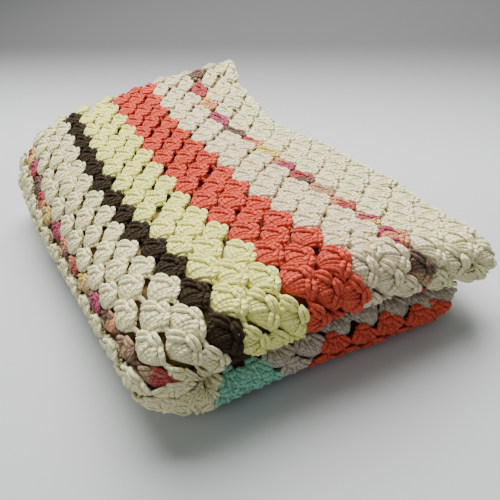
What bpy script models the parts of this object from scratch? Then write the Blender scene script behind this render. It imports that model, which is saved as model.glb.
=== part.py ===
import math

import bmesh
import bpy
import numpy as np

# Sizes in metres. The blanket is one cloth, folded in half three times into
# eight layers: once at the right, once at the front and once at the left.
LAYER_PITCH = 0.0085
THICKNESS = 0.0074
WIDTH = 0.1974
LENGTH = 0.2705
LEFT_BEND_RADIUS = 0.0174
BOTTOM_SHORTER_BY = 0.0267
RIM_ROUNDING = 0.0022

# How the square bundle settles as it lies
PARTING_DROP = 0.0042
PARTING_TILT = 0.0032
SQUASH = 0.915
RIGHT_SINK = 0.153
MIDDLE_DIP = 0.222
BACK_RISE = 0.069
FRONT_RISE = 0.121
LEFT_SINK = 0.194
LOBE_TILT = 0.0037
LOBE_DROP = 0.0091
BACK_LEFT_IN = 0.0053
RIGHT_LONGER = 0.072
FRONT_SKEW = 0.0121
RIGHT_EDGE_DEEP = (-1.0, -0.75, -0.4, 0.0, 0.4, 0.75, 1.0)
RIGHT_EDGE_OUT = (-0.0089, -0.0063, -0.0010, 0.0004, -0.0067, -0.0018, 0.0109)

# Numbers of divisions along each stretch of the cloth
RUN_STEPS = 8
BEND_STEPS = 12
TURN_STEPS = 6
DEPTH_STEPS = 9
FRONT_STEPS = 10

# The packet of four layers, measured from its middle
HALF_PACKET = 1.5 * LAYER_PITCH + THICKNESS / 2
HALF_GAP = LAYER_PITCH / 2
OUTER_RADIUS = LEFT_BEND_RADIUS + HALF_PACKET
BOTTOM_MIDDLE = HALF_PACKET
TOP_MIDDLE = HALF_PACKET + 2 * LEFT_BEND_RADIUS
HEIGHT = TOP_MIDDLE + HALF_PACKET
BEND_X = -WIDTH / 2 + OUTER_RADIUS
TOP_END_X = WIDTH / 2 - HALF_GAP - THICKNESS / 2
BOTTOM_END_X = WIDTH / 2 - BOTTOM_SHORTER_BY
BACK_Y = LENGTH / 2
FRONT_Y = -LENGTH / 2 + HALF_PACKET

# Stretches along the fold path, in order, with the length of each
BOTTOM_RUN = BOTTOM_END_X - BEND_X
BEND_RUN = math.pi * LEFT_BEND_RADIUS
TOP_RUN = TOP_END_X - BEND_X
TURN_RUN = math.pi * HALF_GAP
STRETCHES = (BOTTOM_RUN, BEND_RUN, TOP_RUN, TURN_RUN, TOP_RUN, BEND_RUN, BOTTOM_RUN)
STRETCH_STEPS = (RUN_STEPS, BEND_STEPS, RUN_STEPS, TURN_STEPS, RUN_STEPS, BEND_STEPS, RUN_STEPS)
PATH_KNOTS = np.concatenate([[0.0], np.cumsum(STRETCHES)])

# Stretches across the fold path, from the back edge round the front and back again
DEPTH_RUN = BACK_Y - FRONT_Y
FRONT_RUN = math.pi * LAYER_PITCH
ACROSS = (DEPTH_RUN, FRONT_RUN, DEPTH_RUN)
ACROSS_STEPS = (DEPTH_STEPS, FRONT_STEPS, DEPTH_STEPS)
ACROSS_KNOTS = np.concatenate([[0.0], np.cumsum(ACROSS)])


def knots(lengths, steps):
    edges = [0.0]
    for length, count in zip(lengths, steps):
        start = edges[-1]
        edges.extend(start + length * (k + 1) / count for k in range(count))
    return np.array(edges)


def smooth(value, low, high):
    t = np.clip((value - low) / (high - low), 0.0, 1.0)
    return t * t * (3 - 2 * t)


def along(value, places, amounts):
    """A smooth line through the amounts given at the places."""
    value = np.clip(value, places[0], places[-1])
    after = np.clip(np.searchsorted(places, value), 1, len(places) - 1)
    places = np.array(places)
    amounts = np.array(amounts)
    t = smooth(value, places[after - 1], places[after])
    return amounts[after - 1] + (amounts[after] - amounts[after - 1]) * t


def packet_section(across, offset):
    """Place in the packet, as depth y and height n from the packet's middle."""
    a, b, c = ACROSS_KNOTS[1:]
    angle = np.clip((across - a) / LAYER_PITCH, 0.0, math.pi)
    y = np.where(across < a, BACK_Y - across, FRONT_Y)
    y = np.where(across > b, FRONT_Y + (across - b), y)
    y = y - (LAYER_PITCH + offset) * np.sin(angle)
    n = (LAYER_PITCH + offset) * np.cos(angle)
    return y, n


def fold(path, across, lift):
    """The folded place of a point of the flat cloth, lift above its mid surface."""
    p1, p2, p3, p4, p5, p6, p7 = PATH_KNOTS[1:]
    turn = np.clip((path - p3) / HALF_GAP, 0.0, math.pi)
    offset = (HALF_GAP + lift) * np.cos(turn)
    beyond = (HALF_GAP + lift) * np.sin(turn)
    going_out = path <= (p3 + p4) / 2
    mirrored = p4 - (path - p4) - (p4 - p3)
    there = np.where(going_out, np.minimum(path, p3), np.minimum(mirrored, p3))
    angle = np.clip((there - p1) / LEFT_BEND_RADIUS, 0.0, math.pi)
    y, n = packet_section(across, offset)
    x = np.where(there < p1, BOTTOM_END_X - there, BEND_X)
    x = np.where(there > p2, BEND_X + (there - p2), x)
    radius = LEFT_BEND_RADIUS + n
    x = x - radius * np.sin(angle) + beyond
    z = BOTTOM_MIDDLE + LEFT_BEND_RADIUS - radius * np.cos(angle)
    return np.stack([x, y, z], axis=-1)


def settle(place):
    """Bend the square bundle into the shape it lies in."""
    x = place[..., 0]
    y = place[..., 1]
    z = place[..., 2]
    tall = z / HEIGHT
    side = x / (WIDTH / 2)
    deep = y / (LENGTH / 2)
    top = smooth(tall, 0.35, 0.75)
    front = smooth(-deep, 0.0, 1.0)
    right = smooth(side, 0.1, 1.0)
    # The upper packet is the thicker one
    parting = PARTING_DROP + PARTING_TILT * (side - 0.2) * front
    z = z - parting * np.sin(math.pi * tall)
    # The top sinks towards the right edge and the left bend, and swells at the front
    height = 1 - RIGHT_SINK * right * (1 - 0.25 * front) - MIDDLE_DIP * right * (1 - deep * deep)
    height = height + BACK_RISE * smooth(deep, 0.2, 1.0) + FRONT_RISE * front * (1 - right)
    height = height - LEFT_SINK * smooth(-side, 0.35, 1.0) * (1 - front) - 0.02 * smooth(-deep, 0.82, 1.0)
    z = z * height * SQUASH
    lobe_drop = LOBE_TILT * (side - 0.1) + LOBE_DROP * smooth(-side, -0.4, 0.5)
    z = z - lobe_drop * smooth(-deep, 0.45, 1.0) * smooth(tall, 0.25, 0.6)
    ripple = 0.0009 * np.sin(2.6 * side + 5.1 * deep) + 0.0007 * np.sin(5.3 * side - 3.7 * deep + 1.2)
    z = z + ripple * top
    # The right edge wanders in and out, and the back left corner is drawn in
    x = x + smooth(side, -0.2, 1.0) * along(deep, RIGHT_EDGE_DEEP, RIGHT_EDGE_OUT)
    x = x + BACK_LEFT_IN * smooth(deep, 0.4, 1.0) * smooth(-side, 0.0, 1.0)
    # The bundle is longer on the right and its front edge lies askew
    y = y * (1 + RIGHT_LONGER * side) - FRONT_SKEW * side
    y = y + 0.0015 * smooth(-deep, 0.6, 1.0) * (1 - side * side)
    return np.stack([x, y, z], axis=-1)


def back_edge(path):
    """How far each layer's back edge stops short, so that the layers don't line up."""
    turn = path / PATH_KNOTS[-1]
    return 0.0030 + 0.0022 * np.sin(17.0 * turn) + 0.0012 * np.sin(41.0 * turn + 1.0)


def add_flat_cloth():
    path_edges = knots(STRETCHES, STRETCH_STEPS)
    across_edges = knots(ACROSS, ACROSS_STEPS)
    columns = len(path_edges) - 1
    rows = len(across_edges) - 1
    bpy.ops.mesh.primitive_grid_add(x_subdivisions=columns, y_subdivisions=rows, size=2)
    cloth = bpy.context.object
    for vertex in cloth.data.vertices:
        column = round((vertex.co.x + 1) / 2 * columns)
        row = round((vertex.co.y + 1) / 2 * rows)
        vertex.co = (path_edges[column], across_edges[row], 0.0)
    solidify = cloth.modifiers.new("thickness", "SOLIDIFY")
    solidify.thickness = THICKNESS
    solidify.offset = 0.0
    rim = cloth.modifiers.new("rim", "BEVEL")
    rim.width = RIM_ROUNDING
    rim.segments = 2
    rim.limit_method = "ANGLE"
    rim.angle_limit = math.radians(60)
    bpy.ops.object.modifier_apply(modifier="thickness")
    bpy.ops.object.modifier_apply(modifier="rim")
    return cloth


def fold_cloth(cloth):
    mesh = cloth.data
    flat = np.empty(len(mesh.vertices) * 3)
    mesh.vertices.foreach_get("co", flat)
    flat = flat.reshape(-1, 3)
    path = np.clip(flat[:, 0], 0.0, PATH_KNOTS[-1])
    length = ACROSS_KNOTS[-1]
    short = back_edge(path)
    across = short + flat[:, 1] * (length - 2 * short) / length
    place = settle(fold(path, across, flat[:, 2]))
    middle = (place.min(axis=0) + place.max(axis=0)) / 2
    place[:, 0] -= middle[0]
    place[:, 1] -= middle[1]
    place[:, 2] -= place[:, 2].min()
    mesh.vertices.foreach_set("co", place.ravel())
    mesh.update()
    work = bmesh.new()
    work.from_mesh(mesh)
    bmesh.ops.recalc_face_normals(work, faces=work.faces)
    work.to_mesh(mesh)
    work.free()


def yarn_material():
    material = bpy.data.materials.new("yarn")
    material.use_nodes = True
    shader = material.node_tree.nodes["Principled BSDF"]
    shader.inputs["Base Color"].default_value = (0.70, 0.66, 0.56, 1.0)
    shader.inputs["Roughness"].default_value = 0.9
    return material


for item in list(bpy.data.objects):
    bpy.data.objects.remove(item, do_unlink=True)

collection = bpy.data.collections.new("granny_square_blanket")
bpy.context.scene.collection.children.link(collection)

blanket = add_flat_cloth()
fold_cloth(blanket)
blanket.name = "blanket"
blanket.data.name = "blanket"
blanket.data.materials.append(yarn_material())
for holder in list(blanket.users_collection):
    holder.objects.unlink(blanket)
collection.objects.link(blanket)
for polygon in blanket.data.polygons:
    polygon.use_smooth = True
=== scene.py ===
import math

import bpy
import numpy as np
from mathutils import Matrix, Vector


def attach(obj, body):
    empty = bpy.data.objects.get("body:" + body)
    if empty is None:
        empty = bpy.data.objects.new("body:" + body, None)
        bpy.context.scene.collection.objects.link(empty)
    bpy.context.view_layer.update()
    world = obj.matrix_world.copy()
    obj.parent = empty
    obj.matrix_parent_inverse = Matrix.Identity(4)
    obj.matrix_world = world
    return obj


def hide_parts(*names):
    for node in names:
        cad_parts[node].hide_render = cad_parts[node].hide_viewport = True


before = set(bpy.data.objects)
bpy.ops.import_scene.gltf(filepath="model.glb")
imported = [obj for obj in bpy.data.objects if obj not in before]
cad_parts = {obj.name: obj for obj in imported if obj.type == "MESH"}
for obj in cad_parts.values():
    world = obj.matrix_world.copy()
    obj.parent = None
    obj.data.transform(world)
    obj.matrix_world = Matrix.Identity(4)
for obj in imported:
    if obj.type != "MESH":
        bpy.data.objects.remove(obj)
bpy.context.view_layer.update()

# The folded cloth, in metres: the same fold and the same lie as the solid's
LAYER_PITCH = 0.0085
THICKNESS = 0.0074
WIDTH = 0.1974
LENGTH = 0.2705
LEFT_BEND_RADIUS = 0.0174
BOTTOM_SHORTER_BY = 0.0267
PARTING_DROP = 0.0042
PARTING_TILT = 0.0032
SQUASH = 0.915
RIGHT_SINK = 0.153
MIDDLE_DIP = 0.222
BACK_RISE = 0.069
FRONT_RISE = 0.121
LEFT_SINK = 0.194
LOBE_TILT = 0.0037
LOBE_DROP = 0.0091
BACK_LEFT_IN = 0.0053
RIGHT_LONGER = 0.072
FRONT_SKEW = 0.0121
RIGHT_EDGE_DEEP = (-1.0, -0.75, -0.4, 0.0, 0.4, 0.75, 1.0)
RIGHT_EDGE_OUT = (-0.0089, -0.0063, -0.0010, 0.0004, -0.0067, -0.0018, 0.0109)

HALF_PACKET = 1.5 * LAYER_PITCH + THICKNESS / 2
HALF_GAP = LAYER_PITCH / 2
OUTER_RADIUS = LEFT_BEND_RADIUS + HALF_PACKET
BOTTOM_MIDDLE = HALF_PACKET
HEIGHT = 2 * HALF_PACKET + 2 * LEFT_BEND_RADIUS
BEND_X = -WIDTH / 2 + OUTER_RADIUS
TOP_END_X = WIDTH / 2 - HALF_GAP - THICKNESS / 2
BOTTOM_END_X = WIDTH / 2 - BOTTOM_SHORTER_BY
BACK_Y = LENGTH / 2
FRONT_Y = -LENGTH / 2 + HALF_PACKET
BOTTOM_RUN = BOTTOM_END_X - BEND_X
BEND_RUN = math.pi * LEFT_BEND_RADIUS
TOP_RUN = TOP_END_X - BEND_X
TURN_RUN = math.pi * HALF_GAP
STRETCHES = (BOTTOM_RUN, BEND_RUN, TOP_RUN, TURN_RUN, TOP_RUN, BEND_RUN, BOTTOM_RUN)
PATH_KNOTS = np.concatenate([[0.0], np.cumsum(STRETCHES)])
DEPTH_RUN = BACK_Y - FRONT_Y
FRONT_RUN = math.pi * LAYER_PITCH
ACROSS = (DEPTH_RUN, FRONT_RUN, DEPTH_RUN)
ACROSS_KNOTS = np.concatenate([[0.0], np.cumsum(ACROSS)])

# The stitches: rows run from back to front and are counted from the brown row
ROW = 0.0103
CLUSTER = 0.020
BROWN_RUN = 0.0106
FIRST_CLUSTER = 0.0154
GRAIN_MIDDLE = 0.130
GRAIN_SLANT = -0.057
GRAIN_BOW = 0.0077
BROWN_EASE_AT = (0, 2, 4.5, 7, 9.5, 12, 14)
BROWN_EASE = (-0.001, -0.003, -0.009, -0.008, 0.001, 0.010, 0.005)
MIXED_ROW = 10
MIXED_EASE_AT = (0, 1.5, 4.5, 8, 13)
MIXED_EASE = (-0.010, -0.006, 0.001, -0.003, -0.007)
COUNT_FROM = -1
COUNT_TO = 30
HEM = 0.006
HEM_SQUEEZE = 0.3
BACK_OVERHANG = 0.005

# The outer layer's own bends, and the lengths along it
OUTER_BEND = LEFT_BEND_RADIUS + 1.5 * LAYER_PITCH
OUTER_BEND_RUN = math.pi * OUTER_BEND
OUTER_FRONT = 1.5 * LAYER_PITCH
FRONT_END = DEPTH_RUN + math.pi * OUTER_FRONT
FAR_END = FRONT_END + DEPTH_RUN
FRONT_MIDDLE = ACROSS_KNOTS[1] + FRONT_RUN / 2
TURN_EASE = 0.68

# The front left corner, where the left bend draws in: rows at or under CORNER_ROW bunch together,
# and only WHOLE_CORNER_ROW goes right round it
CORNER_ROW = -4
WHOLE_CORNER_ROW = -8
TIGHTEST_CLUSTER = 0.45
TIGHTEST_ROW = 0.42
SUNKEN_LENGTH = 0.86
SUNKEN_PUFF = 0.75
SUNKEN_BY = 0.0005
LOBE_STRETCH = 1.2

# How much one cluster differs from the next
LEAN = 0.09
LENGTHS = (0.97, 1.09)
WIDTHS = (0.97, 1.07)
PUFFS = (0.9, 1.12)
STRAY = 0.0006

# The yarn's plies, and the length of one turn of their twist
PLIES = 3
PLY_TWIST = 0.0065

# The thin cloth under the clusters: its heights from the layer's middle, and its divisions
CORE_LOW = -0.0032
CORE_HIGH = -0.0018
CORE_RISE = 0.0021
CORE_RISE_ROWS = (5, 9)
CORE_EDGE = 0.007
CORE_COLUMNS = 200
CORE_ROWS = 100

# Yarn colours, linear
CREAM = (0.96, 0.90, 0.54)
WHITE = (0.97, 0.85, 0.56)
BROWN = (0.046, 0.030, 0.017)
YELLOW = (1.0, 0.98, 0.33)
CORAL = (0.76, 0.105, 0.062)
GREY = (0.60, 0.53, 0.43)
MINT = (0.30, 0.66, 0.50)
PINK = (0.50, 0.085, 0.155)
ROSE = (0.52, 0.08, 0.075)
PEACH = (0.80, 0.35, 0.20)
GOLD = (0.90, 0.67, 0.18)
TAUPE = (0.20, 0.12, 0.09)
TAN = (0.55, 0.36, 0.20)
# Painted shade for the variegated yarn between plies and on strand sides, and the dark of its random
# flecks
YARN_SHADE_AND_FLECK = (0.02, 0.01, 0.01)
# Painted shade in the gaps between clusters, laid on the cloth in noisy patches
GAP_SHADE = (0.02, 0.012, 0.008)
UPPER_MIXED = (
    (TAUPE, TAN), (ROSE, ROSE), (GOLD, PEACH), (PINK, PINK), (TAUPE, TAUPE), (PEACH, ROSE), (GOLD, GOLD),
    (PEACH, PINK), (ROSE, TAUPE), (TAN, PEACH), (ROSE, PEACH), (GOLD, PINK), (PINK, PEACH), (TAUPE, TAN),
    (ROSE, PINK),
)
LEFT_MIXED = (
    (GOLD, ROSE), (ROSE, PINK), (TAUPE, TAUPE), (ROSE, PEACH), (GOLD, TAN), (PINK, PINK), (TAUPE, PEACH),
    (PEACH, ROSE), (GOLD, TAN), (PINK, PINK), (PEACH, TAUPE), (TAUPE, TAN), (TAN, ROSE), (ROSE, PINK),
    (GOLD, PEACH),
)

# The cloth's colour between the clusters, from this row on: painted shade, darker tones of each stripe's
# yarn where the layer below lies in shadow. The first and the last are plain cream.
CLOTH_COLOUR_AND_SHADE_BY_ROW = (
    (-99, (0.80, 0.72, 0.45)),
    (-9.6, (0.40, 0.28, 0.16)),
    (-3.6, (0.30, 0.18, 0.07)),
    (-0.4, (0.26, 0.19, 0.05)),
    (1.6, (0.27, 0.23, 0.06)),
    (3.6, (0.36, 0.045, 0.022)),
    (6.6, (0.42, 0.22, 0.12)),
    (9.6, (0.52, 0.36, 0.20)),
    (12.6, (0.66, 0.54, 0.33)),
    (15.0, (0.80, 0.72, 0.45)),
)
# Painted shade between the clusters on the lower packet's front
LOWER_FRONT_GAP_SHADE = (0.16, 0.045, 0.032)

chance = np.random.default_rng(7)


def smooth(value, low, high):
    t = np.clip((value - low) / (high - low), 0.0, 1.0)
    return t * t * (3 - 2 * t)


def along(value, places, amounts):
    """A smooth line through the amounts given at the places."""
    value = np.clip(value, places[0], places[-1])
    after = np.clip(np.searchsorted(places, value), 1, len(places) - 1)
    places = np.array(places)
    amounts = np.array(amounts)
    t = smooth(value, places[after - 1], places[after])
    return amounts[after - 1] + (amounts[after] - amounts[after - 1]) * t


def packet_section(across, offset):
    """Place in the packet, as depth y and height n from the packet's middle."""
    a, b = ACROSS_KNOTS[1:3]
    angle = np.clip((across - a) / LAYER_PITCH, 0.0, math.pi)
    y = np.where(across < a, BACK_Y - across, FRONT_Y)
    y = np.where(across > b, FRONT_Y + (across - b), y)
    y = y - (LAYER_PITCH + offset) * np.sin(angle)
    n = (LAYER_PITCH + offset) * np.cos(angle)
    return y, n


def fold(path, across, lift):
    """The folded place of a point of the flat cloth, lift above its mid surface."""
    p1, p2, p3, p4 = PATH_KNOTS[1:5]
    turn = np.clip((path - p3) / HALF_GAP, 0.0, math.pi)
    offset = (HALF_GAP + lift) * np.cos(turn)
    beyond = (HALF_GAP + lift) * np.sin(turn)
    going_out = path <= (p3 + p4) / 2
    there = np.where(going_out, np.minimum(path, p3), np.minimum(p4 + p3 - path, p3))
    angle = np.clip((there - p1) / LEFT_BEND_RADIUS, 0.0, math.pi)
    y, n = packet_section(across, offset)
    x = np.where(there < p1, BOTTOM_END_X - there, BEND_X)
    x = np.where(there > p2, BEND_X + (there - p2), x)
    radius = LEFT_BEND_RADIUS + n
    x = x - radius * np.sin(angle) + beyond
    z = BOTTOM_MIDDLE + LEFT_BEND_RADIUS - radius * np.cos(angle)
    return np.stack([x, y, z], axis=-1)


def settle(place):
    """Bend the square bundle into the shape it lies in."""
    x = place[..., 0]
    y = place[..., 1]
    z = place[..., 2]
    tall = z / HEIGHT
    side = x / (WIDTH / 2)
    deep = y / (LENGTH / 2)
    top = smooth(tall, 0.35, 0.75)
    front = smooth(-deep, 0.0, 1.0)
    right = smooth(side, 0.1, 1.0)
    parting = PARTING_DROP + PARTING_TILT * (side - 0.2) * front
    z = z - parting * np.sin(math.pi * np.clip(tall, 0, 1))
    height = 1 - RIGHT_SINK * right * (1 - 0.25 * front) - MIDDLE_DIP * right * (1 - deep * deep)
    height = height + BACK_RISE * smooth(deep, 0.2, 1.0) + FRONT_RISE * front * (1 - right)
    height = height - LEFT_SINK * smooth(-side, 0.35, 1.0) * (1 - front) - 0.02 * smooth(-deep, 0.82, 1.0)
    z = z * height * SQUASH
    lobe_drop = LOBE_TILT * (side - 0.1) + LOBE_DROP * smooth(-side, -0.4, 0.5)
    z = z - lobe_drop * smooth(-deep, 0.45, 1.0) * smooth(tall, 0.25, 0.6)
    ripple = 0.0009 * np.sin(2.6 * side + 5.1 * deep) + 0.0007 * np.sin(5.3 * side - 3.7 * deep + 1.2)
    z = z + ripple * top
    x = x + smooth(side, -0.2, 1.0) * along(deep, RIGHT_EDGE_DEEP, RIGHT_EDGE_OUT)
    x = x + BACK_LEFT_IN * smooth(deep, 0.4, 1.0) * smooth(-side, 0.0, 1.0)
    y = y * (1 + RIGHT_LONGER * side) - FRONT_SKEW * side
    y = y + 0.0015 * smooth(-deep, 0.6, 1.0) * (1 - side * side)
    return np.stack([x, y, z], axis=-1)


def solid_middle(edge=0.003, columns=240, rows=120):
    """Where the solid's box is centred before it is moved to the origin."""
    path, across = np.meshgrid(
        np.linspace(0, PATH_KNOTS[-1], columns), np.linspace(edge, ACROSS_KNOTS[-1] - edge, rows)
    )
    faces = [settle(fold(path, across, lift)) for lift in (-THICKNESS / 2, THICKNESS / 2)]
    every = np.concatenate([face.reshape(-1, 3) for face in faces])
    return (every.min(axis=0) + every.max(axis=0)) / 2


MIDDLE = solid_middle()
MIDDLE[2] = 0.0
FLOOR_GAP = 0.0002


def lie(path, across, lift):
    """The place in the bundle, never below what it lies on."""
    place = settle(fold(path, across, lift)) - MIDDLE
    place[..., 2] = np.maximum(place[..., 2], FLOOR_GAP)
    return place


def outer_path(run):
    """Fold path at a length run on the outer layer, from the top of the left bend."""
    path = np.where(run > 0, PATH_KNOTS[2] + run, PATH_KNOTS[2] + run * LEFT_BEND_RADIUS / OUTER_BEND)
    path = np.where(run < -OUTER_BEND_RUN, PATH_KNOTS[1] + run + OUTER_BEND_RUN, path)
    return np.where(run > TOP_RUN, PATH_KNOTS[3] + (run - TOP_RUN) * TURN_EASE, path)


def outer_across(reach):
    """Place across the fold path at a length reach on the outer layer, from the back edge."""
    bent = DEPTH_RUN + (reach - DEPTH_RUN) * LAYER_PITCH / OUTER_FRONT
    across = np.where(reach > DEPTH_RUN, bent, reach)
    return np.where(reach > FRONT_END, ACROSS_KNOTS[2] + reach - FRONT_END, across)


def row_drift(reach):
    """How far the rows have drifted aside at this reach. They lie a little askew and bowed."""
    aside = reach - GRAIN_MIDDLE
    return GRAIN_SLANT * aside + GRAIN_BOW * (aside / GRAIN_MIDDLE) ** 2


def row_run(row, reach):
    """Length from the top of the left bend to a row, at this reach."""
    return BROWN_RUN + ROW * row + row_drift(reach)


def row_reach(row, cluster):
    """Length from the back edge to a cluster. Rows are worked a little tighter or looser along their way:
    the brown row in one way, the variegated row in another, and those between shade over."""
    at = cluster + 0.5 * (row % 2)
    brown_ease = along(at, BROWN_EASE_AT, BROWN_EASE)
    mixed_ease = along(at, MIXED_EASE_AT, MIXED_EASE)
    share = min(max(row / MIXED_ROW, 0.0), 1.0)
    return FIRST_CLUSTER + CLUSTER * at + brown_ease * (1 - share) + mixed_ease * share


# Shader maths as Python expressions


class Wire:
    """A socket's value that can be added, subtracted and multiplied."""

    def __init__(self, tree, socket):
        self.tree = tree
        self.socket = socket

    def maths(self, operation, first, second):
        node = self.tree.nodes.new("ShaderNodeMath")
        node.operation = operation
        for slot_in, value in zip(node.inputs, (first, second)):
            plug(self.tree, slot_in, value)
        return Wire(self.tree, node.outputs[0])

    def __add__(self, other):
        return self.maths("ADD", self, other)

    __radd__ = __add__

    def __mul__(self, other):
        return self.maths("MULTIPLY", self, other)

    __rmul__ = __mul__

    def __sub__(self, other):
        return self.maths("SUBTRACT", self, other)

    def __rsub__(self, other):
        return self.maths("SUBTRACT", other, self)

    def sine(self):
        return self.maths("SINE", self, 0.0)


def plug(tree, slot_in, value):
    if isinstance(value, Wire):
        tree.links.new(value.socket, slot_in)
    else:
        slot_in.default_value = value


class Shader:
    """A material's nodes, added by what they do."""

    def __init__(self, name):
        self.material = bpy.data.materials.new(name)
        self.material.use_nodes = True
        self.tree = self.material.node_tree
        self.surface = self.tree.nodes["Principled BSDF"]

    def node(self, kind, out=0, settings=(), **inputs):
        made = self.tree.nodes.new(kind)
        for key, value in dict(settings).items():
            setattr(made, key, value)
        for key, value in inputs.items():
            plug(self.tree, made.inputs[key.replace("_", " ")], value)
        return Wire(self.tree, made.outputs[out])

    def mix(self, amount, first, second):
        made = self.tree.nodes.new("ShaderNodeMix")
        made.data_type = "RGBA"
        for number, value in ((0, amount), (6, first), (7, second)):
            plug(self.tree, made.inputs[number], value)
        return Wire(self.tree, made.outputs[2])

    def set(self, **inputs):
        for key, value in inputs.items():
            plug(self.tree, self.surface.inputs[key.replace("_", " ")], value)


def yarn(name, colour=None, deep=0.55, sheen=0.12):
    """Plied yarn with painted shade: darker by deep between its plies and on its strands' sides, with
    random darker flecks and patches. With no colour it takes the piece's own colours.
    """
    shader = Shader(name)
    flat = shader.node("ShaderNodeUVMap", settings={"uv_map": "strand"})
    length = shader.node("ShaderNodeSeparateXYZ", Vector=flat)
    around = shader.node("ShaderNodeSeparateXYZ", out=1, Vector=flat)
    place = shader.node("ShaderNodeTexCoord", out=3)
    wound = 2 * math.pi * PLIES
    ply = (length * (wound / PLY_TWIST) + around * wound).sine() * 0.5 + 0.5
    fuzz = shader.node("ShaderNodeTexNoise", Vector=place, Scale=900.0, Detail=3.0, Roughness=0.7)
    patch = shader.node("ShaderNodeTexNoise", Vector=place, Scale=90.0, Detail=2.0)
    if colour is None:
        dye_and_shade = shader.node("ShaderNodeAttribute", settings={"attribute_name": "dye_and_shade"})
        dark = shader.mix(0.6, dye_and_shade, YARN_SHADE_AND_FLECK + (1.0,))
    else:
        dye_and_shade = colour + (1.0,)
        dark = tuple(part * deep for part in colour) + (1.0,)
    # Painted shade: each strand is lighter on its top and darker on its sides, and the tone below is
    # darker between the plies too; the flecks and patches are the yarn's own random tone.
    painted_top_light = (around * (2 * math.pi) - math.pi / 2).sine() * 0.5 + 0.5
    tone = ply * 0.6 + (fuzz - 0.5) * 0.7 + (patch - 0.5) * 0.4 + painted_top_light * 0.4 + 0.12
    shader.set(Base_Color=shader.mix(tone, dark, dye_and_shade), Roughness=0.92)
    shader.set(Sheen_Weight=sheen, Sheen_Roughness=0.5, Specular_IOR_Level=0.12)
    height = ply * 0.9 + fuzz * 0.8
    shader.set(Normal=shader.node("ShaderNodeBump", Height=height, Strength=0.7, Distance=0.0007))
    return shader.material


def backing_yarn(name):
    """The cloth between the clusters, where the next layer shows through, darkened in noisy patches as
    painted shade in the gaps.
    """
    shader = Shader(name)
    place = shader.node("ShaderNodeTexCoord", out=3)
    dye_and_shade = shader.node("ShaderNodeAttribute", settings={"attribute_name": "dye_and_shade"})
    strands = shader.node("ShaderNodeTexNoise", Vector=place, Scale=230.0, Detail=3.0)
    dark = shader.mix(0.7, dye_and_shade, GAP_SHADE + (1.0,))
    shader.set(Base_Color=shader.mix(strands * 2.4 - 0.65, dark, dye_and_shade), Roughness=0.95)
    shader.set(Normal=shader.node("ShaderNodeBump", Height=strands, Strength=0.8, Distance=0.001))
    return shader.material


# A length of yarn is modelled once. Clusters are bent copies of it.
MM = 0.001
BELLY_ROUTE = ((-6.2, 0.0, -1.6), (-1.0, 0.0, 2.2), (5.0, 0.0, 0.0))
BELLY_RADII = (2.2, 4.4, 5.9, 6.5, 5.1)
POST_RADII = (0.8, 1.0, 1.05, 1.05, 1.05, 1.0, 0.9)
LOOP_RADII = (0.9, 1.15, 1.2, 1.15, 0.9)
LINK_RADII = (1.0, 1.2, 1.25, 1.2, 0.9)
PLAIN_POST_RADII = (2.0, 3.0, 3.3, 3.2, 2.8)
PLAIN_BAR_RADII = (1.6, 2.4, 2.5, 2.4, 1.6)


def yarn_length(sides, steps):
    """A straight length of yarn, as the ring and angle of each corner, its faces and UV places."""
    bpy.ops.object.select_all(action="DESELECT")
    bpy.context.tool_settings.mesh_select_mode = (False, True, False)
    bpy.ops.mesh.primitive_cylinder_add(vertices=sides, radius=1.0, depth=1.0)
    rod = bpy.context.object
    mesh = rod.data
    for polygon in mesh.polygons:
        polygon.select = False
    for edge in mesh.edges:
        low, high = (mesh.vertices[k].co.z for k in edge.vertices)
        edge.select = abs(high - low) > 0.5
    bpy.ops.object.mode_set(mode="EDIT")
    bpy.ops.mesh.subdivide(number_cuts=steps - 1)
    bpy.ops.object.mode_set(mode="OBJECT")
    ring = np.array([round((v.co.z + 0.5) * steps) for v in mesh.vertices])
    turn = np.array([math.atan2(v.co.y, v.co.x) / (2 * math.pi) for v in mesh.vertices])
    side = np.round(turn * sides + sides / 4).astype(int) % sides
    faces = [list(polygon.vertices) for polygon in mesh.polygons]
    places = []
    for face in faces:
        sides_here = side[face]
        # The last side joins up with the first, so its far corners are one whole turn on
        if len(face) == 4 and np.ptp(sides_here) > 1:
            sides_here = np.where(sides_here == 0, sides, sides_here)
        places.extend((ring[k] / steps, s / sides) for k, s in zip(face, sides_here))
    bpy.data.objects.remove(rod, do_unlink=True)
    return {"ring": ring, "angle": turn * 2 * math.pi, "faces": faces, "places": np.array(places)}


def drawn_curve(bends, steps):
    """Points on the curve from the first bend to the last, drawn to the middle one."""
    start, pull, end = (np.array(p, float) for p in bends)
    t = np.linspace(0, 1, steps + 1)[:, None]
    return (1 - t) ** 2 * start + 2 * t * (1 - t) * pull + t * t * end


def ring_frame(points):
    """The directions aside and outward at each point of a strand."""
    ahead = np.gradient(points, axis=0)
    ahead = ahead / np.linalg.norm(ahead, axis=1, keepdims=True)
    out = np.array([0.0, 0.0, 1.0]) - ahead * ahead[:, 2:3]
    out = out / np.linalg.norm(out, axis=1, keepdims=True)
    return np.cross(out, ahead), out


def bent(shape, points, radii, flat=1.0):
    """The length of yarn laid along the points. Lengths are in millimetres, and UV lengths in metres."""
    aside, out = ring_frame(points)
    ring = shape["ring"]
    cosine = np.cos(shape["angle"])[:, None]
    sine = np.sin(shape["angle"])[:, None] * flat
    corners = points[ring] + (aside[ring] * cosine + out[ring] * sine) * np.asarray(radii)[ring][:, None]
    length = np.linalg.norm(np.diff(points, axis=0), axis=1).sum()
    return corners, shape["faces"], shape["places"] * np.array([length * MM, 1.0])


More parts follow.
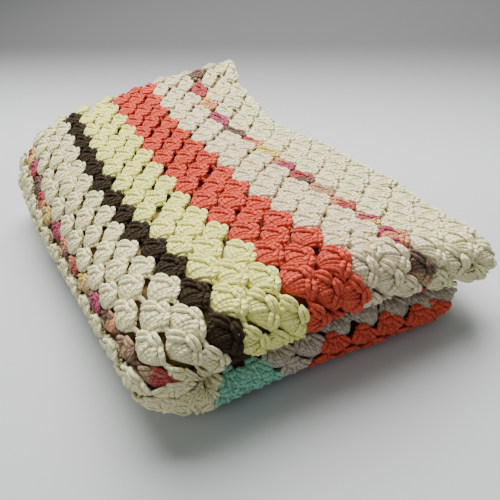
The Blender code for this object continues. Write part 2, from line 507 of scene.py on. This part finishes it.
def gather(strands):
    """Several strands as one cluster, in metres."""
    corners = []
    faces = []
    tints = []
    start = 0
    for number, (points, sides_of, at) in enumerate(strands):
        corners.append(points)
        faces.extend([k + start for k in face] for face in sides_of)
        tints.extend([number / len(strands)] * len(points))
        start += len(points)
    return {
        "corners": np.concatenate(corners) * MM,
        "faces": faces,
        "places": np.concatenate([at for points, sides_of, at in strands]),
        "tints": np.array(tints),
    }


POST_YARN = yarn_length(sides=5, steps=6)
LOOP_YARN = yarn_length(sides=5, steps=4)


def posts(variant):
    """Three posts of three strands each, fanned from one space and puffed."""
    skew = 0.4 + 0.7 * variant
    strands = []
    for k in range(-4, 5):
        post = round(k / 3)
        crown = 0.7 - 0.8 * abs(k - 3 * post)
        wander = 0.35 * math.sin(2.3 * k + 1.9 * variant)
        low = (-7.0 + 0.1 * k * k, 0.55 * k - 0.4 * skew, -1.6)
        pull = (-1.3 + wander, 1.62 * k + wander, 6.7 - 0.18 * k * k + crown)
        high = (5.6 - 0.25 * k * k, 1.95 * k + 0.5 * skew, 1.0 + 0.3 * crown)
        strands.append(bent(POST_YARN, drawn_curve((low, pull, high), 6), POST_RADII))
    return strands


def braid():
    """Three pairs of loops over the top of the posts."""
    strands = []
    for k in (-1, 0, 1):
        centre = np.array([6.3 - 3.2 * abs(k), 5.2 * k, 0.0])
        ahead = np.array([-0.72 * k, 1.0 - 0.28 * abs(k), 0.0])
        upward = np.array([ahead[1], -ahead[0], 0.0])
        for arm in (-1, 1):
            low = centre - 3.4 * ahead + (0.2 + 0.7 * arm) * upward + (0, 0, 2.6)
            middle = centre + 0.3 * ahead + (0.2 + 2.1 * arm) * upward + (0, 0, 5.6)
            high = centre + 3.5 * ahead + 0.4 * arm * upward + (0, 0, 2.1)
            strands.append(bent(LOOP_YARN, drawn_curve((low, middle, high), 4), LOOP_RADII))
    return strands


def full_cluster(variant):
    """Posts round a puffed belly, under a braid of loops, with a link to the cluster on each side.
    Lengths are in millimetres: a up the stitch, b along the row, c out of the cloth."""
    strands = [bent(LOOP_YARN, drawn_curve(BELLY_ROUTE, 4), BELLY_RADII, flat=0.38)]
    strands += posts(variant)
    strands += braid()
    for side in (-1, 1):
        link = drawn_curve(((1.8, 6.6 * side, 2.4), (1.0, 9.0 * side, 2.2), (1.6, 11.0 * side, -0.6)), 4)
        strands.append(bent(LOOP_YARN, link, LINK_RADII))
    return gather(strands)


def plain_cluster():
    """The same cluster with single posts and one bar, for layers that hardly show."""
    strands = []
    for k in (-1, 0, 1):
        points = drawn_curve(((-7.0, 2.3 * k, 0.0), (-1.0, 5.6 * k, 0.6), (6.0, 6.0 * k, 0.2)), 4)
        strands.append(bent(LOOP_YARN, points, PLAIN_POST_RADII))
    bar = drawn_curve(((5.0, -8.6, 0.0), (7.5, 0.0, 0.8), (5.0, 8.6, 0.0)), 4)
    strands.append(bent(LOOP_YARN, bar, PLAIN_BAR_RADII))
    return gather(strands)


FULL = [full_cluster(variant) for variant in range(4)]
PLAIN = [plain_cluster()]


def finish_piece(piece):
    """Turns the closed piece, already in its yarn's material slot, to face out, shades it smooth and puts
    it on the root body.
    """
    bpy.ops.object.select_all(action="DESELECT")
    bpy.context.view_layer.objects.active = piece
    piece.select_set(True)
    bpy.ops.object.mode_set(mode="EDIT")
    bpy.ops.mesh.select_all(action="SELECT")
    bpy.ops.mesh.normals_make_consistent(inside=False)
    bpy.ops.object.mode_set(mode="OBJECT")
    bpy.ops.object.shade_smooth()
    piece.select_set(False)
    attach(piece, "root")


def paint(mesh, colours):
    """Give each corner of the mesh its colour: the yarn's own on clusters, and on the cloth, painted shade
    and plain cream.
    """
    dye_and_shade = mesh.color_attributes.new("dye_and_shade", "FLOAT_COLOR", "POINT")
    dye_and_shade.data.foreach_set("color", np.column_stack([colours, np.ones(len(colours))]).ravel())


def make_clusters(name, templates, spots, lay, material, dyes=None):
    """One piece of many clusters. lay turns a spot and places a, b and c into a place in the bundle."""
    corners = []
    faces = []
    places = []
    tints = []
    start = 0
    for number, spot in enumerate(spots):
        shape = templates[number % len(templates)]
        a, b, c = shape["corners"].T
        turn = chance.normal(0, LEAN)
        grow = chance.uniform(*LENGTHS)
        wide = chance.uniform(*WIDTHS)
        shift = chance.normal(0, STRAY, 3)
        up = (a * math.cos(turn) - b * math.sin(turn)) * grow + shift[0]
        side = (a * math.sin(turn) + b * math.cos(turn)) * wide + shift[1]
        out = c * chance.uniform(*PUFFS) + shift[2] * 0.4
        corners.append(lay(spot, up, side, out))
        faces.extend([k + start for k in face] for face in shape["faces"])
        places.append(shape["places"])
        if dyes is not None:
            first, second = (np.array(colour) for colour in dyes[number % len(dyes)])
            mix = smooth(np.sin(14 * shape["tints"] + 5 * number), -0.3, 0.5)[:, None]
            tints.append(first * (1 - mix) + second * mix)
        start += len(a)
    mesh = bpy.data.meshes.new(name)
    mesh.from_pydata(np.concatenate(corners).tolist(), [], faces)
    strand_map = mesh.uv_layers.new(name="strand")
    strand_map.data.foreach_set("uv", np.concatenate(places).ravel())
    if dyes is not None:
        paint(mesh, np.concatenate(tints))
    mesh.materials.append(material)
    piece = bpy.data.objects.new(name, mesh)
    bpy.context.scene.collection.objects.link(piece)
    finish_piece(piece)
    return piece


def tightness(reach):
    """The left bend's radius at this reach, as a share of its radius along the top."""
    turned = np.clip((reach - DEPTH_RUN) / OUTER_FRONT, 0.0, math.pi)
    return (LEFT_BEND_RADIUS + OUTER_FRONT * np.cos(turned)) / OUTER_BEND


def lay_outer(spot, a, b, c):
    """On the outer layer, in a row that runs from back to front. A cluster fills a stretched row."""
    row, cluster = spot
    pitch = row_reach(row, cluster + 0.5) - row_reach(row, cluster - 0.5)
    reach = row_reach(row, cluster) + b * max(1.0, pitch / CLUSTER)
    reach = np.where(reach < HEM, HEM + (reach - HEM) * HEM_SQUEEZE, reach)
    if row <= CORNER_ROW:
        a = a / np.maximum(tightness(reach), TIGHTEST_CLUSTER)
    run = row_run(row, reach) + a
    return lie(outer_path(run), outer_across(reach), c)


def lay_sunken(spot, a, b, c):
    """A row drawn in between fuller ones."""
    return lay_outer(spot, a * SUNKEN_LENGTH, b, c * SUNKEN_PUFF - SUNKEN_BY)


def lay_lower_lobe(spot, a, b, c):
    """On the front of the lower packet, in a row that runs from left to right."""
    reach, run = spot
    return lie(outer_path(run + b), outer_across(reach + a * LOBE_STRETCH), c)


def lay_inner(spot, a, b, c):
    """On an inner layer, at a place on the fold path and across it."""
    path, across = spot
    return lie(path + a, across + b, c)


# deep is how dark each yarn's painted shade between plies and on strand sides is, as a share of its colour
cream_yarn = yarn("cream yarn", CREAM, deep=0.66)
white_yarn = yarn("off-white yarn", WHITE, deep=0.66)
brown_yarn = yarn("dark brown yarn", BROWN, deep=0.45, sheen=0.03)
yellow_yarn = yarn("pale yellow yarn", YELLOW, deep=0.82)
coral_yarn = yarn("coral yarn", CORAL, deep=0.58, sheen=0.05)
grey_yarn = yarn("grey yarn", GREY, deep=0.5)
mint_yarn = yarn("mint yarn", MINT, deep=0.5)
mixed_yarn = yarn("variegated yarn")


def spots_of(rows, first=-BACK_OVERHANG, last=FRONT_END + HEM):
    """Every cluster of these rows between two lengths from the back edge."""
    spots = []
    for row in rows:
        for cluster in range(COUNT_FROM, COUNT_TO):
            if first < row_reach(row, cluster) < last:
                spots.append((row, cluster))
    return spots


def stripe(name, rows, material, dyes=None):
    """A stripe of whole rows over the top and round the front."""
    return make_clusters(name, FULL, spots_of(rows), lay_outer, material, dyes)


stripe("brown_row", [0], brown_yarn)
stripe("pale_yellow_rows", range(1, 4), yellow_yarn)
stripe("coral_rows", range(4, 7), coral_yarn)
stripe("off_white_rows", range(7, 10), white_yarn)
stripe("variegated_row", [MIXED_ROW], mixed_yarn, UPPER_MIXED)
stripe("cream_rows_right", range(11, 18), cream_yarn)
stripe("cream_rows_inner_left", range(-3, 0), cream_yarn)
make_clusters("variegated_row_left", FULL, spots_of([CORNER_ROW]), lay_sunken, mixed_yarn, LEFT_MIXED)
corner_spots = [
    spot
    for spot in spots_of(range(-10, CORNER_ROW))
    if spot[0] == WHOLE_CORNER_ROW or tightness(row_reach(*spot)) > TIGHTEST_ROW
]
make_clusters("cream_rows_left", FULL, corner_spots, lay_outer, cream_yarn)

# The right fold of the upper packet's lower half, and the underside
lower_fold = spots_of(range(13, 18), FRONT_END + HEM, FAR_END)
make_clusters("cream_rows_lower_fold", PLAIN, lower_fold, lay_outer, cream_yarn)
underside = spots_of(range(-23, -10), HEM, DEPTH_RUN)
make_clusters("cream_rows_under", PLAIN, underside, lay_outer, cream_yarn)

# The lower packet's front, in lines of clusters: the length round the front of each line, and the places
# of its clusters along the front from the left bend
LOWER_FRONT = (
    ("mint_lower_front", mint_yarn, ((0.0145, (0.004, 0.0155, 0.0265)), (0.0245, (0.0105, 0.0215)))),
    ("brown_lower_front", brown_yarn, ((0.0345, (0.016,)),)),
    (
        "grey_lower_front",
        grey_yarn,
        ((0.0155, (0.041,)), (0.0275, (0.0355, 0.0515)), (0.0315, (0.071, 0.0885, 0.106, 0.1235, 0.137))),
    ),
    (
        "coral_lower_front",
        coral_yarn,
        ((0.0200, (0.064, 0.081, 0.098, 0.116, 0.128)), (0.0085, (0.056, 0.071, 0.089, 0.107, 0.120))),
    ),
    ("cream_lower_corner", cream_yarn, ((0.020, (-0.0075,)), (0.030, (-0.003,)))),
)
for name, material, lines in LOWER_FRONT:
    front_spots = [(DEPTH_RUN + reach, -OUTER_BEND_RUN - place) for reach, line in lines for place in line]
    make_clusters(name, FULL, front_spots, lay_lower_lobe, material)

# The inner layers, which show at the back edges and at the lower packet's right end
EDGE_START = 0.004
OUTER_TURN = PATH_KNOTS[4] + EDGE_START
EDGE_IN = 0.011
LOWER_END_IN = 0.006
UPPER_END_IN = 0.010
END_SPACE = 0.020
FIRST_END = 0.025
edge_spots = []
for number, path in enumerate(np.arange(EDGE_START, PATH_KNOTS[-1], ROW)):
    step_in = EDGE_IN + CLUSTER / 2 * (number % 2)
    if path > OUTER_TURN:
        edge_spots.append((path, step_in))
    edge_spots.append((path, ACROSS_KNOTS[3] - step_in))
make_clusters("cream_inner_edges", PLAIN, edge_spots, lay_inner, cream_yarn)
end_spots = []
for step in np.arange(FIRST_END, ACROSS_KNOTS[3] - END_SPACE, CLUSTER):
    if abs(step - FRONT_MIDDLE) > END_SPACE:
        end_spots.append((LOWER_END_IN, step))
    end_spots.append((PATH_KNOTS[-1] - UPPER_END_IN, step))
make_clusters("cream_free_ends", PLAIN, end_spots, lay_inner, cream_yarn)

# The cloth itself, thin, under its clusters
bpy.ops.object.select_all(action="DESELECT")
bpy.ops.mesh.primitive_grid_add(x_subdivisions=CORE_COLUMNS, y_subdivisions=CORE_ROWS, size=2)
cloth = bpy.context.object
cloth.name = "cloth"
cloth.data.name = "cloth"
thick = cloth.modifiers.new("thickness", "SOLIDIFY")
thick.thickness = CORE_HIGH - CORE_LOW
thick.offset = 0.0
bpy.ops.object.modifier_apply(modifier="thickness")
flat = np.empty(len(cloth.data.vertices) * 3)
cloth.data.vertices.foreach_get("co", flat)
flat = flat.reshape(-1, 3)
cloth_path = (flat[:, 0].clip(-1, 1) + 1) / 2 * PATH_KNOTS[-1]
cloth_across = CORE_EDGE + (flat[:, 1].clip(-1, 1) + 1) / 2 * (ACROSS_KNOTS[-1] - 2 * CORE_EDGE)
cloth_row = (cloth_path - PATH_KNOTS[2] - BROWN_RUN - row_drift(cloth_across)) / ROW
cloth_lift = flat[:, 2] + (CORE_LOW + CORE_HIGH) / 2 + CORE_RISE * smooth(cloth_row, *CORE_RISE_ROWS)
cloth.data.vertices.foreach_set("co", lie(cloth_path, cloth_across, cloth_lift).ravel())
# The cloth's colours: painted shade in the gaps, as darker tones of the rows' yarn, and plain cream at the
# first and last rows; painted shade also on the lower packet's front.
shades = np.array([shade for start, shade in CLOTH_COLOUR_AND_SHADE_BY_ROW])
starts = np.array([start for start, shade in CLOTH_COLOUR_AND_SHADE_BY_ROW])
cloth_colour_and_shade = shades[np.clip(np.searchsorted(starts, cloth_row) - 1, 0, len(starts) - 1)]
lower_front_shade_mask = (cloth_path < PATH_KNOTS[1]) & (abs(cloth_across - FRONT_MIDDLE) < FRONT_RUN / 2)
cloth_colour_and_shade[lower_front_shade_mask] = LOWER_FRONT_GAP_SHADE
paint(cloth.data, cloth_colour_and_shade)
cloth.data.materials.append(backing_yarn("cloth between clusters"))
finish_piece(cloth)
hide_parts("blanket")

# Floor and light. The paper darkens towards the far right: painted shade, standing in for the light
# falling off away from the bundle.
FLOOR_NEAR = (0.495, 0.53, 0.537)
# Painted shade: the far paper's colour
FLOOR_FAR_SHADE = (0.062, 0.066, 0.066)
FAR_WAY = (0.79, 0.613)
FAR_START = 0.09
FAR_FINISH = 0.35
FLOOR_SIZE = 6.0
ROOM_COLOUR = (0.84, 0.86, 0.86)
ROOM_STRENGTH = 0.26
paper = Shader("floor paper")
paper_place = paper.node("ShaderNodeTexCoord", out=3)
paper_x = paper.node("ShaderNodeSeparateXYZ", Vector=paper_place)
paper_y = paper.node("ShaderNodeSeparateXYZ", out=1, Vector=paper_place)
far = paper.node(
    "ShaderNodeMapRange",
    settings={"interpolation_type": "SMOOTHSTEP"},
    Value=paper_x * FAR_WAY[0] + paper_y * FAR_WAY[1],
    From_Min=FAR_START,
    From_Max=FAR_FINISH,
)
paper.set(Base_Color=paper.mix(far, FLOOR_NEAR + (1.0,), FLOOR_FAR_SHADE + (1.0,)), Roughness=0.6)
bpy.ops.mesh.primitive_plane_add(size=FLOOR_SIZE, location=(0, 0, 0))
floor = bpy.context.object
floor.name = "floor"
floor.data.materials.append(paper.material)


def soft_light(name, place, target, size, power, colour):
    """A soft window of light at the place, turned to the target."""
    lamp = bpy.data.lights.new(name, "AREA")
    lamp.shape = "RECTANGLE"
    lamp.size = size[0]
    lamp.size_y = size[1]
    lamp.energy = power
    lamp.color = colour
    holder = bpy.data.objects.new(name, lamp)
    bpy.context.scene.collection.objects.link(holder)
    holder.location = place
    holder.rotation_euler = (Vector(target) - Vector(place)).to_track_quat("-Z", "Y").to_euler()


soft_light("overhead light", (0.30, 0.45, 0.85), (0, 0, 0), (1.0, 0.8), 34.0, (1.0, 0.985, 0.95))
soft_light("left light", (-0.9, -0.1, 0.6), (0, 0, 0.03), (0.9, 0.9), 2.2, (0.95, 0.98, 1.0))

world = bpy.data.worlds.new("room")
world.use_nodes = True
room_light = world.node_tree.nodes["Background"]
room_light.inputs["Color"].default_value = ROOM_COLOUR + (1.0,)
room_light.inputs["Strength"].default_value = ROOM_STRENGTH
bpy.context.scene.world = world

# Camera, at the photograph's angle
FOCAL_PIXELS = 520
PICTURE_PIXELS = 500
SENSOR = 36.0
YAW = math.radians(26.3)
PITCH = math.radians(42.3)
ROLL = math.radians(-10.9)
EYE = np.array([-0.102, -0.260, 0.238]) - MIDDLE
ahead = np.array([math.sin(YAW) * math.cos(PITCH), math.cos(YAW) * math.cos(PITCH), -math.sin(PITCH)])
level = np.array([math.cos(YAW), -math.sin(YAW), 0.0])
above = np.cross(level, ahead)
right_hand = level * math.cos(ROLL) + above * math.sin(ROLL)
upward = above * math.cos(ROLL) - level * math.sin(ROLL)
camera = bpy.data.objects.new("camera", bpy.data.cameras.new("camera"))
bpy.context.scene.collection.objects.link(camera)
camera.data.sensor_width = SENSOR
camera.data.lens = SENSOR * FOCAL_PIXELS / PICTURE_PIXELS
camera.data.clip_start = 0.01
turned = Matrix(np.stack([right_hand, upward, -ahead], axis=1).tolist())
camera.matrix_world = Matrix.Translation(EYE.tolist()) @ turned.to_4x4()
bpy.context.scene.camera = camera
